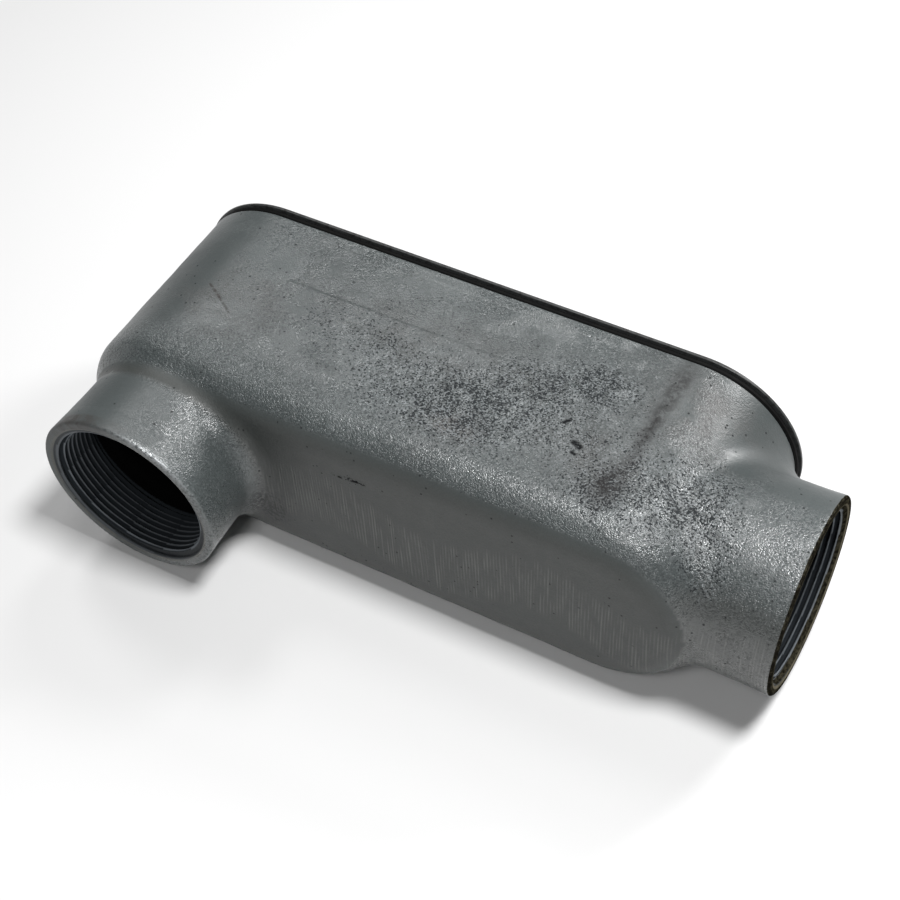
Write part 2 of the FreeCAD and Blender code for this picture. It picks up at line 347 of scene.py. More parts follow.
def make_skin():
    """The casting with its facets smoothed away and a cast surface on it."""
    work = bmesh.new()
    work.from_mesh(frame["nodes"]["casting"].data)
    bmesh.ops.remove_doubles(work, verts=work.verts, dist=1e-6)
    skin = add_object("casting_skin", bpy.data.meshes.new("casting_skin"))
    work.to_mesh(skin.data)
    work.free()
    remesh = skin.modifiers.new("even", "REMESH")
    remesh.mode = "VOXEL"
    remesh.voxel_size = VOXEL * MM
    settle(skin)
    mesh = skin.data
    edges = np.empty(len(mesh.edges) * 2, np.int32)
    mesh.edges.foreach_get("vertices", edges)
    smoothed = relax(points_of(mesh), edges.reshape(-1, 2), SMOOTHING_ROUNDS)
    set_points(mesh, tuck(smoothed))
    roughen(mesh)
    shade(mesh, 60.0)
    return skin


def make_lip():
    """The crisp edge of the casting's open side, which the gasket lies on."""
    path = stadium_path(0, BODY_LENGTH, BODY_RADIUS, 1.3)
    drawn = frame["nodes"]["casting"].data
    tree = BVHTree.FromPolygons([vertex.co for vertex in drawn.vertices],
                                [face.vertices for face in drawn.polygons])
    middle = BODY_RADIUS - WALL / 2

    def outside(depth):
        """The casting's outer radius for each step of the path, so that it takes in the hub."""
        reach = []
        for centre, normal in zip(path[0], path[1]):
            start = centre + normal * middle + (0, depth, 0)
            hit = tree.ray_cast(Vector(place(start)), Vector(normal))[0]
            reach.append(middle + np.linalg.norm(local(hit) - start) if hit else BODY_RADIUS)
        return np.array(reach)

    edge = outside(-0.4) + PROUD
    over_hub = np.clip((edge - BODY_RADIUS - 0.1) / 0.3, 0, 1)
    reach = 1 - 0.72 * over_hub
    depths = [(-12.0, 0.6), (-9.0, 0.12)] + [(-0.8 * step, 0.0) for step in range(8, 1, -1)]
    profile = []
    for depth, back in depths:
        rows = [outside(depth * share) for share in (1.0, 0.64, 0.28)]
        share = np.clip((reach - 0.28) / 0.36, 0, 2)
        between = np.where(share < 1, rows[2] + share * (rows[1] - rows[2]),
                           rows[1] + (share - 1) * (rows[0] - rows[1]))
        profile.append((between + PROUD - back, depth * reach))
    profile += arc((edge - 0.35, -0.35), 0.35, 0, 90, 5)
    profile += [(edge - WALL + 0.5, 0.0), (edge - WALL, -0.5)]
    profile.append((edge - WALL + 0.5, -12.0 * reach))
    lip = sweep("casting_lip", path, profile)
    roughen(lip.data)
    return lip


def thread_ridge(turns):
    """Height of the thread over its groove, from 0 to 1, against a number of turns."""
    part = turns % 1.0
    return np.clip(2.3 * (0.5 - np.abs(part - 0.5)) - 0.06, 0, 1)


def thread_wall(depth):
    """The radius of the thread's groove at a depth behind the hub's face."""
    flare = THREAD_FLARE * np.exp(-(depth - 0.1) / THREAD_FLARE_LENGTH)
    return THREAD_RADIUS - THREAD_TAPER * depth + flare


def thread_entry(depth):
    """The share of its full height that the thread has reached at a depth."""
    return np.clip((depth - 0.1) / THREAD_ENTRY_LENGTH, 0.1, 1)


def make_hub_rim(name, centre, axis, draft, phase):
    """The machined end of a hub: its face, the mouth's chamfer and the tapered thread.

    draft is how much narrower the hub gets for each millimetre behind its face, and phase
    is where the thread starts, in turns.
    """
    count = 288
    path = circle_path(centre, axis, count)
    around = np.arange(count) / count
    flank = [(HUB_RIM_RADIUS + PROUD - draft * depth, -depth) for depth in (6, 5, 4, 3, 2)]
    flank = [(flank[0][0] - 0.65, -12.0), (flank[0][0] - 0.14, -9.0)] + flank
    corner = arc((HUB_RIM_RADIUS - RIM_ROUNDING, -RIM_ROUNDING), RIM_ROUNDING, 8, 86, 8)
    mouth = THREAD_RADIUS + MOUTH_CHAMFER
    face = [(HUB_RIM_RADIUS - 1.6, 0.0), (mouth + 0.7, 0.0), (mouth + 0.5, 0.0),
            (mouth + 0.15, -0.01), (mouth, -0.1)]
    thread = []
    for depth in np.arange(0.2, THREAD_DEPTH + 0.6, THREAD_PITCH / 11):
        runout = np.clip((THREAD_DEPTH + 0.6 - depth) / 3.5, 0, 1)
        ridge = thread_ridge(depth / THREAD_PITCH + around + phase)
        height = THREAD_HEIGHT * ridge * thread_entry(depth) * runout
        thread.append((thread_wall(depth) - height, -depth))
    back = [(THREAD_RADIUS + 0.6, -THREAD_DEPTH - 1.2), (THREAD_RADIUS + 1.5, -13.0)]
    rim = sweep(name, path, flank + corner + face + thread + back, smooth=50)
    across = points_of(rim.data) - centre
    across -= np.outer(across @ axis, axis)
    roughen(rim.data, np.linalg.norm(across, axis=1) > HUB_RIM_RADIUS - 2)
    return rim


def make_hub_rims():
    """Both hubs' ends, with the wear that each rim shows and a painted highlight on the back rim's
    edge.
    """
    end = make_hub_rim("end_hub_rim", (END_FACE, END_AXIS_Y, 0), (1, 0, 0), 1 / 61.5, 0.0)
    x, y, z = points_of(end.data).T
    rim_wear(end.data, np.hypot(y - END_AXIS_Y, z), END_FACE - x, 1.0)
    back = make_hub_rim("back_hub_rim", (BACK_AXIS_X, BACK_FACE, 0), (0, -1, 0), 1 / 42.1, 0.83)
    x, y, z = points_of(back.data).T
    radius = np.hypot(x - BACK_AXIS_X, z)
    turn = np.arctan2(z, x - BACK_AXIS_X)
    depth = y - BACK_FACE
    rim_wear(back.data, radius, depth, 0.3)
    stain = bell((turn - 2.1) / 0.5) * (depth < 4)
    mask(back.data, "stain", stain * (radius > THREAD_RADIUS + 1.5))
    # Where a painted highlight lies on worn bright metal at the back rim's outer corner.
    shine = bell((turn - 1.05) / 0.42, (depth - 0.5) / 0.45)
    mask(back.data, "shine", shine * (radius > HUB_RIM_RADIUS - 1.5))
    return end, back


def blob(points, x, y, width, height, turn=0.0):
    """A soft spot on the upper side wall, 1 at its middle. turn is in degrees."""
    cosine, sine = math.cos(math.radians(turn)), math.sin(math.radians(turn))
    across = points[:, 0] - x
    along = points[:, 1] - y
    first = (across * cosine + along * sine) / width
    second = (along * cosine - across * sine) / height
    return bell(first, second) * ramp(points[:, 2] - 8, 12)


def spots(points, places):
    """The sum of several blobs, each given as its strength and its place."""
    return sum(strength * blob(points, *place) for strength, *place in places)


WORN = ((1.0, 143, -52, 16, 13, 10), (0.75, 160, -32, 13, 10, 20), (1.0, 179, -22, 11, 8),
        (1.05, 226, -50, 9, 11), (0.5, 236, -66, 8, 11), (0.7, 196, -64, 9, 8),
        (0.42, 118, -56, 20, 13), (0.4, 170, -46, 42, 20), (0.7, 213, -58, 13, 14),
        (0.3, 95, -38, 34, 15), (0.9, 197, -62, 5, 6))
SMEARED = ((0.8, 201, -10, 3.6, 12), (0.9, 200, -33, 2.8, 17), (1.0, 197, -60, 5.5, 8))
BROWNED = ((0.9, 141, -61, 10, 8), (0.5, 120, -30, 45, 12), (0.7, 213, -18, 20, 16),
           (0.5, 45, -46, 18, 16), (0.5, 185, -50, 20, 12))
CHIPPED = ((1.0, 175, -41.5, 3, 2), (1.0, 182, -48.5, 4, 4), (0.7, 193, -50, 7, 7))

# Strokes on the side wall in x and y and on the back face in x and z: start, end and width.
SIDE_MARKS = (((173.2, -43.6), (176.0, -40.2), 1.1), ((179.4, -48.4), (184.4, -50.6), 1.9),
              ((180.6, -52.8), (184.0, -53.6), 1.0))
BACK_MARKS = (((106.5, 18.0), (112.0, 18.2), 1.2), ((113.0, 18.9), (121.0, 19.6), 1.8))
SCRATCH = ((33, -40.0), (48.5, -50.0), 0.85)


def stains(mesh):
    """Store where the paint is worn, smeared, ground off or grubby, and where shade is painted on
    it.
    """
    points = points_of(mesh)
    x, y, z = points.T
    mask(mesh, "worn", spots(points, WORN))
    mask(mesh, "smear", spots(points, SMEARED))
    mask(mesh, "brown", spots(points, BROWNED))
    mask(mesh, "side", ramp(z - BODY_RADIUS + 1.0, 0.5))

    # On the back face: chips in two bands, the wavy ground stripe, and grime by the back hub.
    low_chips = bell((x - 113) / 9, (z - 18.5) / 2.5) * (y < -75)
    low_chips += 0.55 * bell((z + 22) / 7) * (y < -75) * (x > 84) * (x < 170)
    mask(mesh, "chips", spots(points, CHIPPED) + low_chips)
    wave = 6 * np.sin(x / 13.0)
    stripe = ramp(15 - abs(z - wave + 4), 4)
    mask(mesh, "ground", ramp(-y - 70, 8) * stripe * ramp(x - 76, 6))
    mask(mesh, "grime", 1.5 * bell((x - 79) / 8, (y + 84) / 8, (z + 16) / 12))

    # Painted shade: the back face and the end hub's underside are laid darker and greener.
    back_face = ramp(-y - 79, 3) * ramp(y + 86, 2)
    hub_under = ramp(-y - 64, 8) * ramp(x - 222, 12) * ramp(26 - z, 8)
    mask(mesh, "under", np.maximum(back_face, 0.8 * hub_under))

    # Smooth paint: the back face, the end hub's root and upper side, the blind end and the
    # back hub's far side.
    calm = (y < -80) * (y > -84) + bell((x - 236) / 20, (y + 10) / 20)
    calm += bell((x - 12) / 26, (y + 30) / 34) + ramp(-84 - y, 3) * ramp(50 - x, 16)
    calm += ramp(x - 240, 6) * ramp(z - 22, 6) * ramp(y + 40, 8)
    mask(mesh, "calm", np.minimum(calm, 1) * 0.85)

    # Coarse paint: the long rounded edge and the back hub's shoulder.
    edge = bell((y + 72) / 11) * (z > 14)
    shoulder = bell((x - 66) / 12) * (y < -84) * (z > 5)
    mask(mesh, "coarse", np.maximum(edge, 0.5 * shoulder) + 0.3)

    # Painted shade: the cavity and the bores beyond the rims are laid near-black.
    end_radius = np.hypot(y - END_AXIS_Y, z)
    back_radius = np.hypot(x - BACK_AXIS_X, z)
    tip = np.hypot(x - np.clip(x, BODY_RADIUS, BODY_LENGTH - BODY_RADIUS), z)
    hollow = (tip < BODY_RADIUS - WALL + 0.6) & (y > WALL - BODY_DEPTH - 0.6) & (y < -0.4)
    hollow &= tip - y < CORE_CORNER
    end_bore = (end_radius < THREAD_RADIUS + 0.4) & (x > BODY_LENGTH - 30) & (x < END_FACE - 2.0)
    back_bore = (back_radius < THREAD_RADIUS + 0.4) & (y < -60) & (y > BACK_FACE + 2.0)
    mask(mesh, "inside", (hollow | end_bore | back_bore).astype(float))


def rim_wear(mesh, radius, depth, wear):
    """Store how far a hub's rim has lost its paint, and where its thread's crests are polished,
    with a painted highlight that fades into painted shade deeper in.
    """
    face = ramp(1.25 - depth, 0.9)
    chamfer = (radius < THREAD_RADIUS + 1.7) * ramp(2.4 - depth, 1)
    mask(mesh, "rim", np.maximum((radius > THREAD_RADIUS + 1.5) * face, chamfer) * wear)
    mask(mesh, "nick", (radius > HUB_RIM_RADIUS - 1.3) * ramp(1.7 - depth, 1.7) * wear)
    mask(mesh, "brink", (abs(radius - THREAD_RADIUS - 1.5) < 0.4) * (depth < 0.4) * wear)
    start = 0.1 + 1.8 * (wear > 0.5)
    mask(mesh, "thread", (radius < THREAD_RADIUS + 1.58) * ramp(depth - start, 0.3))
    height = (thread_wall(depth) - radius) / (THREAD_HEIGHT * thread_entry(depth))
    # The crests carry a painted highlight on polished metal; its fading deeper in is painted
    # shade.
    crest = (height > 0.8) & (depth > 0.15) & (depth < THREAD_DEPTH)
    fading = np.clip(1 - depth / THREAD_DEPTH, 0.2, 1) * ramp(depth, 2)
    mask(mesh, "crest", crest * fading)


# ---------------------------------------------------------------- the closing parts

def make_gasket():
    """The gasket, a little swollen where the cover squeezes it."""
    setback = local(GASKET[0])[0]
    path = stadium_path(0, BODY_LENGTH, BODY_RADIUS, 1.6)
    outer = BODY_RADIUS - setback
    inner = BODY_RADIUS - WALL
    middle = GASKET_TOP / 2
    profile = [(outer - 0.5, 0.0), (outer - 0.35, 0.25 * middle), (outer, 0.5 * middle),
               (outer - 0.04, middle), (outer, 1.35 * middle), (outer - 0.3, 1.6 * middle),
               (outer - 0.7, GASKET_TOP), (inner, GASKET_TOP), (inner, 0.0)]
    gasket = sweep("gasket_band", path, profile)
    height = points_of(gasket.data)[:, 1]
    # Where the rubber is laid lighter: partly dusty, partly a painted sheen on the bulge.
    mask(gasket.data, "flank", 1 - np.abs(height - middle) / (0.55 * middle))
    return gasket


def make_cover():
    """The pressed cover: a turned edge, a flat margin, a raised field and screw holes."""
    under = GASKET_TOP
    margin = under + COVER_THICKNESS
    crown = local(COVER[1])[1]
    path = stadium_path(0, BODY_LENGTH, BODY_RADIUS, 1.6)
    outer = BODY_RADIUS + COVER_OVERHANG
    profile = [(BODY_RADIUS - 12, under), (outer - 0.5, under)]
    profile += arc((outer - 0.3, under + 0.3), 0.3, -45, 0, 3)
    profile += arc((outer - 0.7, margin - 0.7), 0.7, 0, 90, 6)
    profile += [(BODY_RADIUS - 4, margin), (BODY_RADIUS - 7, margin), (BODY_RADIUS - 12, margin)]
    plate = sweep("cover_plate", path, profile, caps=True)

    inner = stadium_path(FIELD_START, BODY_LENGTH - FIELD_START, FIELD_RADIUS, 1.6)
    foot = margin - FIELD_FOOT
    field = [(FIELD_RADIUS - 5.0, foot), (FIELD_RADIUS + 0.6, foot)]
    field += [(FIELD_RADIUS + 0.5, margin + 0.02), (FIELD_RADIUS + 0.1, margin + 0.1)]
    field += arc((FIELD_RADIUS - 1.3, crown - 0.9), 0.9, 20, 90, 6)
    field += [(FIELD_RADIUS - 5.0, crown)]
    combine(plate, sweep("cover_field", inner, field, caps=True), "UNION")
    hole = [(0.0, under - 1), (SCREW_HOLE_RADIUS, under - 1),
            (SCREW_HOLE_RADIUS, crown + 1), (0.0, crown + 1)]
    for centre in SCREW_PLACES:
        path = circle_path((centre, 0, 0), (0, 1, 0), 32)
        combine(plate, sweep("hole", path, hole), "DIFFERENCE")
    points = points_of(plate.data)
    reach = np.hypot(points[:, 0] - np.clip(points[:, 0], BODY_RADIUS, BODY_LENGTH - BODY_RADIUS),
                     points[:, 2])
    mask(plate.data, "edge", np.clip((reach - BODY_RADIUS + 0.5) / 0.8, 0, 1))
    return plate


def make_screw(node):
    """A round-head slotted screw with its shank's thread left plain under the head."""
    low, high = (local(corner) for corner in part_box(node))
    centre = (low + high) / 2
    seat = GASKET_TOP + COVER_THICKNESS
    radius = (high[0] - low[0]) / 2
    height = high[1] - seat
    path = circle_path((centre[0], 0, centre[2]), (0, 1, 0), 64)
    dome = [(radius * math.cos(t), seat + 0.7 + (height - 0.7) * math.sin(t))
            for t in np.radians(np.linspace(0, 84, 12))]
    shank = SCREW_RADIUS
    profile = [(0.0, low[1]), (shank - 0.6, low[1]), (shank, low[1] + 0.7), (shank, seat),
               (radius - 0.15, seat), (radius, seat + 0.15)] + dome + [(0.0, high[1])]
    screw = sweep(node.replace("cover_screw", "screw"), path, profile)
    corners = [(centre[0] + across, high[1] + up, centre[2] + along)
               for across in (-SCREW_SLOT_HALF, SCREW_SLOT_HALF)
               for up in (-SCREW_SLOT_DEPTH, 1) for along in (-2 * radius, 2 * radius)]
    faces = [(0, 1, 3, 2), (4, 6, 7, 5), (0, 4, 5, 1), (2, 3, 7, 6), (0, 2, 6, 4), (1, 5, 7, 3)]
    return combine(screw, make_mesh("slot", corners, faces), "DIFFERENCE")


def direction(azimuth, elevation):
    """The way to a place around the part. Angles are in degrees, and 0, 0 is along -Y."""
    turn, rise = math.radians(azimuth), math.radians(elevation)
    return Vector((math.sin(turn) * math.cos(rise), -math.cos(turn) * math.cos(rise),
                   math.sin(rise)))


def setup_camera():
    """The viewpoint from which the photographer saw the part."""
    back = direction(31.80, 50.01)
    roll = math.radians(-3.91)
    right = Vector((0, 0, 1)).cross(back).normalized()
    up = back.cross(right)
    across = math.cos(roll) * right + math.sin(roll) * up
    upward = -math.sin(roll) * right + math.cos(roll) * up
    target = Vector((0.03121, 0.05215, 0.0386))
    position = target + across * -0.04959 + upward * -0.01776 + back * 0.60930
    data = bpy.data.cameras.new("camera")
    data.lens = 68.24
    data.sensor_width = 36
    data.clip_start = 0.01
    camera = add_object("camera", data)
    rotation = Matrix((across, upward, back)).transposed().to_4x4()
    camera.matrix_world = Matrix.Translation(position) @ rotation
    bpy.context.scene.camera = camera


def add_light(name, azimuth, elevation, power):
    """A soft round light that looks at the part's middle. Angles are in degrees."""
    data = bpy.data.lights.new(name, "AREA")
    data.shape = "DISK"
    data.size = LIGHT_SIZE
    data.energy = power
    back = direction(azimuth, elevation)
    light = add_object(name, data)
    light.location = Vector(place((120, -45, 0))) + LIGHT_DISTANCE * back
    light.rotation_euler = back.to_track_quat("Z", "Y").to_euler()


def make_surround():
    """A surround that is white to look at, and gives the part only a little light."""
    world = bpy.data.worlds.new("studio")
    bpy.context.scene.world = world
    world.use_nodes = True
    tree = world.node_tree
    background = tree.nodes["Background"]
    background.inputs["Color"].default_value = (1, 1, 1, 1)
    seen = tree.nodes.new("ShaderNodeLightPath").outputs["Is Camera Ray"]
    share = tree.nodes.new("ShaderNodeMapRange")
    share.inputs["To Min"].default_value = SURROUND_LIGHT
    share.inputs["To Max"].default_value = 1.0
    tree.links.new(seen, share.inputs["Value"])
    tree.links.new(share.outputs["Result"], background.inputs["Strength"])


def make_floor():
    """A pale floor. Far out, where the lights fade, it shines a little to stay as pale."""
    turns = np.radians(np.arange(0, 360, 5))
    count = len(turns)
    points = [(radius * math.cos(turn), radius * math.sin(turn), -FLOOR_GAP)
              for radius, glow in FLOOR_RINGS for turn in turns]
    faces = ring_faces(len(FLOOR_RINGS), count, False) + [tuple(range(count))]
    mesh = bpy.data.meshes.new("floor")
    mesh.from_pydata(points, [], faces)
    mask(mesh, "far", np.repeat([glow for radius, glow in FLOOR_RINGS], count))
    white = Surface("floor_white", 0.8)
    tone = white.mix(white.noise(900, 2), (0.75, 0.75, 0.75), (0.77, 0.77, 0.77))
    white.plug(white.shader.inputs["Emission Color"], (1.0, 1.0, 1.0))
    white.plug(white.shader.inputs["Emission Strength"], white.mask("far"))
    mesh.materials.append(white.finish(tone))
    add_object("floor", mesh)


def make_studio():
    """A pale floor and surround, and soft lights from above."""
    make_surround()
    make_floor()
    for light in LIGHTS:
        add_light(*light)
    bpy.context.scene.view_settings.view_transform = "Standard"


# ---------------------------------------------------------------- materials

class Surface:
    """A procedural material. Lengths are in millimetres, and inputs are sockets or numbers."""

    def __init__(self, name, roughness, metallic=0.0):
        self.material = bpy.data.materials.new(name)
        self.material.use_nodes = True
        self.tree = self.material.node_tree
        self.shader = self.tree.nodes["Principled BSDF"]
        self.shader.inputs["Roughness"].default_value = roughness
        self.shader.inputs["Metallic"].default_value = metallic
        self.place = self.tree.nodes.new("ShaderNodeTexCoord").outputs["Object"]

    def plug(self, socket, value):
        """Link a socket into an input, or set the input to a number or a colour."""
        if isinstance(value, bpy.types.NodeSocket):
            self.tree.links.new(value, socket)
        elif isinstance(value, tuple):
            socket.default_value = (*value, 1.0)
        else:
            socket.default_value = value

    def scaled(self, size, stretch=(1, 1, 1), shift=(0, 0, 0)):
        """The place on the part counted in steps of size, longer where stretch is above 1."""
        mapping = self.tree.nodes.new("ShaderNodeMapping")
        self.tree.links.new(self.place, mapping.inputs["Vector"])
        mapping.inputs["Scale"].default_value = [1 / (size * MM * factor) for factor in stretch]
        mapping.inputs["Location"].default_value = shift
        return mapping.outputs["Vector"]

    def noise(self, size, detail=2.0, roughness=0.5, stretch=(1, 1, 1)):
        """Noise whose blotches are about size across, longer where stretch is above 1."""
        node = self.tree.nodes.new("ShaderNodeTexNoise")
        self.tree.links.new(self.scaled(size, stretch), node.inputs["Vector"])
        node.inputs["Scale"].default_value = 1.0
        node.inputs["Detail"].default_value = detail
        node.inputs["Roughness"].default_value = roughness
        return node.outputs["Fac"]

    def grains(self, size):
        """Grains about size across: a random number for each, and the distance from its middle."""
        node = self.tree.nodes.new("ShaderNodeTexVoronoi")
        self.tree.links.new(self.scaled(size), node.inputs["Vector"])
        node.inputs["Scale"].default_value = 1.0
        split = self.tree.nodes.new("ShaderNodeSeparateColor")
        self.tree.links.new(node.outputs["Color"], split.inputs["Color"])
        return split.outputs["Red"], node.outputs["Distance"]

    def mask(self, name):
        """A number stored on the mesh's vertices."""
        node = self.tree.nodes.new("ShaderNodeAttribute")
        node.attribute_name = name
        return node.outputs["Fac"]

    def math(self, operation, first, second=0.0):
        """Arithmetic on two values."""
        node = self.tree.nodes.new("ShaderNodeMath")
        node.operation = operation
        self.plug(node.inputs[0], first)
        self.plug(node.inputs[1], second)
        return node.outputs[0]

    def times(self, first, *others):
        """The product of values."""
        for other in others:
            first = self.math("MULTIPLY", first, other)
        return first

    def plus(self, first, second):
        """The sum of two values."""
        return self.math("ADD", first, second)

    def minus(self, first, second):
        """The first value less the second."""
        return self.math("SUBTRACT", first, second)

    def most(self, first, second):
        """The greater of two values."""
        return self.math("MAXIMUM", first, second)

    def span(self, value, low, high, blur):
        """1 between low and high and 0 outside them, with soft ends."""
        return self.times(self.step(value, low - blur, low + blur),
                          self.step(value, high + blur, high - blur))

    def where(self):
        """The place on the part in the casting's frame, in millimetres, as x, y and z."""
        split = self.tree.nodes.new("ShaderNodeSeparateXYZ")
        self.tree.links.new(self.scaled(1, shift=tuple(-ORIGIN / MM)), split.inputs["Vector"])
        return tuple(split.outputs)

    def line(self, x, y, start, end, width):
        """A soft thin stroke, 1 along its middle, between two places of the x-y plane."""
        run = Vector(end) - Vector(start)
        length = run.length
        run.normalize()
        across_x = self.minus(x, start[0])
        across_y = self.minus(y, start[1])
        along = self.plus(self.times(across_x, run.x), self.times(across_y, run.y))
        off = self.math("ABSOLUTE", self.minus(self.times(across_x, run.y),
                                               self.times(across_y, run.x)))
        inside = self.times(self.step(along, 0, 1), self.step(along, length, length - 1))
        return self.times(inside, self.step(off, width, 0.2 * width))

    def step(self, value, low, high):
        """0 below low, 1 above high and smooth between them."""
        node = self.tree.nodes.new("ShaderNodeMapRange")
        node.interpolation_type = "SMOOTHSTEP"
        self.plug(node.inputs["Value"], value)
        self.plug(node.inputs["From Min"], low)
        self.plug(node.inputs["From Max"], high)
        return node.outputs["Result"]

    def mix(self, share, first, second):
        """A colour between two colours."""
        node = self.tree.nodes.new("ShaderNodeMix")
        node.data_type = "RGBA"
        self.plug(node.inputs[0], share)
        self.plug(node.inputs[6], first)
        self.plug(node.inputs[7], second)
        return node.outputs[2]

    def bump(self, height, depth, strength=1.0, under=None):
        """A normal from a height, where a height of 1 stands depth above 0."""
        node = self.tree.nodes.new("ShaderNodeBump")
        node.inputs["Distance"].default_value = depth * MM
        self.plug(node.inputs["Height"], height)
        self.plug(node.inputs["Strength"], strength)
        if under is not None:
            self.tree.links.new(under, node.inputs["Normal"])
        return node.outputs["Normal"]

    def finish(self, colour=None, roughness=None, normal=None, metallic=None, gloss=None):
        """Join the results to the shader."""
        for name, value in (("Base Color", colour), ("Roughness", roughness),
                            ("Normal", normal), ("Metallic", metallic),
                            ("Specular IOR Level", gloss)):
            if value is not None:
                self.plug(self.shader.inputs[name], value)
        return self.material


COLOURS = {
    "pit": (0.022, 0.026, 0.028), "fleck": (0.16, 0.175, 0.178),
    # Painted shade: the underside colour, laid on the back face and below the end hub.
    "underside_shade": (0.038, 0.040, 0.036), "grit": (0.022, 0.024, 0.023),
    "brown": (0.068, 0.059, 0.055), "thin": (0.022, 0.025, 0.027),
    "speck": (0.010, 0.012, 0.014), "glint": (0.150, 0.165, 0.170),
    "smear": (0.018, 0.016, 0.016), "grime": (0.018, 0.019, 0.020),
    "chip": (0.008, 0.008, 0.009), "scratch": (0.030, 0.022, 0.020),
    # Painted shade: the inside colour, laid near-black in the cavity and the bores.
    "ground": (0.150, 0.153, 0.146), "inside": (0.003, 0.003, 0.003),
    "oily": (0.005, 0.0045, 0.003), "bare": (0.044, 0.040, 0.027),
    # The crest colour is a painted highlight on polished metal.
    "thread": (0.024, 0.028, 0.032), "crest": (0.21, 0.23, 0.25),
    "brink": (0.14, 0.125, 0.09), "nick": (0.010, 0.009, 0.007),
    # The shine colour is a painted highlight on worn metal.
    "stain": (0.034, 0.028, 0.025), "shine": (0.45, 0.47, 0.48)}


class Enamel(Surface):
    """Grey enamel over a sand-cast skin, worn, smeared and grubby in places, with painted shade on
    its back face and in its cavity.
    """

    def __init__(self):
        super().__init__("enamel_on_casting", 0.4)
        self.shader.inputs["IOR"].default_value = 1.8
        self.along, self.depth, self.across = self.where()
        self.grain, self.off_middle = self.grains(0.46)
        self.clumps = self.noise(5.0, 3, 0.65)
        self.patches = self.noise(13, 3, 0.6)
        self.ragged = self.noise(1.3, 4, 0.7)
        self.matt = self.mask("inside")
        self.coat()
        self.wear()
        self.marks()
        self.grinding()
        # Painted shade: the cavity and the bores are laid near-black.
        self.lay(self.mask("inside"), COLOURS["inside"])
        self.rims()
        self.gloss()
        self.relief()

    def dull(self, share, amount):
        """Take the shine from a share of the surface."""
        self.matt = self.most(self.matt, self.times(share, amount))

    def lay(self, share, colour, strength=1.0, matt=0.0):
        """Cover a share of the surface with a colour, and dull it as far as matt says."""
        covered = self.times(share, strength) if strength < 1 else share
        self.colour = self.mix(covered, self.colour, colour)
        if matt:
            self.dull(share, matt)

    def coat(self):
        """The paint itself, with its pits and pale flecks, painted shade on the back face and
        below the end hub, and brown patches.
        """
        self.colour = self.mix(self.step(self.noise(38, 2), 0.35, 0.68), GREY_DEEP, GREY_PALE)
        calm = self.mask("calm")
        rugged = self.most(self.mask("coarse"), self.step(self.patches, 0.3, 0.62))
        self.rugged = self.times(self.minus(1.0, calm), rugged)
        self.dull(calm, 0.55)
        pits = self.times(self.step(self.grain, 0.74, 0.84), self.rugged, 0.55)
        self.lay(pits, COLOURS["pit"], matt=0.9)
        flecks = self.times(self.step(self.grain, 0.2, 0.1), self.rugged, 0.42)
        self.lay(flecks, COLOURS["fleck"])
        # Painted shade: the back face and the end hub's underside are laid darker.
        under = self.mask("under")
        self.lay(under, COLOURS["underside_shade"], 0.65)
        grit = self.step(self.noise(0.5, 3, 0.7), 0.6, 0.4)
        self.lay(self.times(grit, under), COLOURS["grit"], 0.35)
        brown = self.times(self.mask("brown"), self.step(self.patches, 0.3, 0.7), 0.7)
        self.lay(brown, COLOURS["brown"], matt=0.4)

    def wear(self):
        """Thin paint, where the dark skin shows through as specks that run together, and dirt."""
        worn = self.mask("worn")
        thin = self.times(worn, self.step(self.clumps, 0.36, 0.62))
        self.lay(thin, COLOURS["thin"], 0.6, 0.5)
        share = self.plus(self.times(worn, 0.42), self.times(self.minus(self.clumps, 0.5), 0.8))
        share = self.times(share, self.step(worn, 0.05, 0.3))
        specks = self.step(self.grain, self.minus(1.0, share), self.minus(1.06, share))
        self.lay(specks, COLOURS["speck"], 0.8, 0.8)
        glints = self.times(self.step(worn, 0.1, 0.5), self.step(self.grain, 0.26, 0.2))
        self.lay(glints, COLOURS["glint"], 0.8)
        smear = self.times(self.mask("smear"), self.step(self.noise(3, 4, 0.7), 0.2, 0.62))
        self.lay(smear, COLOURS["smear"], 0.85, 0.9)
        grime = self.times(self.mask("grime"), self.step(self.ragged, 0.38, 0.56))
        self.lay(grime, COLOURS["grime"], 0.8, 0.6)

    def marks(self):
        """Chips down to the dark skin, scattered dots and one brown scratch."""
        chips = self.plus(self.noise(1.2, 3, 0.6), self.times(self.mask("chips"), 0.2))
        chips = self.step(chips, 0.79, 0.82)
        for strokes, other, face, low in ((SIDE_MARKS, self.depth, "side", 0.3),
                                          (BACK_MARKS, self.across, "under", 0.4)):
            for stroke in strokes:
                line = self.times(self.line(self.along, other, *stroke), self.mask(face))
                broken = self.step(self.ragged, low, low + 0.15)
                chips = self.most(chips, self.times(line, broken))
        pick, off_dot = self.grains(1.5)
        dots = self.times(self.step(pick, 0.955, 0.96), self.step(off_dot, 0.34, 0.2))
        chips = self.most(chips, self.times(dots, 0.8))
        self.lay(chips, COLOURS["chip"], 0.9, 1.0)
        scratch = self.times(self.line(self.along, self.depth, *SCRATCH), self.mask("side"), 0.7,
                             self.step(self.ragged, 0.3, 0.6))
        self.lay(scratch, COLOURS["scratch"], matt=1.0)

    def grinding(self):
        """Grinding marks across the back face, in clusters of fine lines."""
        wander = self.times(self.noise(9, 1, stretch=(1, 1, 8)), 2.6)
        turns = self.math("FRACT", self.times(self.plus(self.along, wander), 1 / 1.15))
        lines = self.step(self.math("ABSOLUTE", self.minus(turns, 0.5)), 0.34, 0.04)
        clusters = self.step(self.noise(2.2, 2, stretch=(1, 7, 7)), 0.36, 0.7)
        self.ground = self.times(lines, clusters, self.mask("ground"))
        self.lay(self.ground, COLOURS["ground"], 0.62)

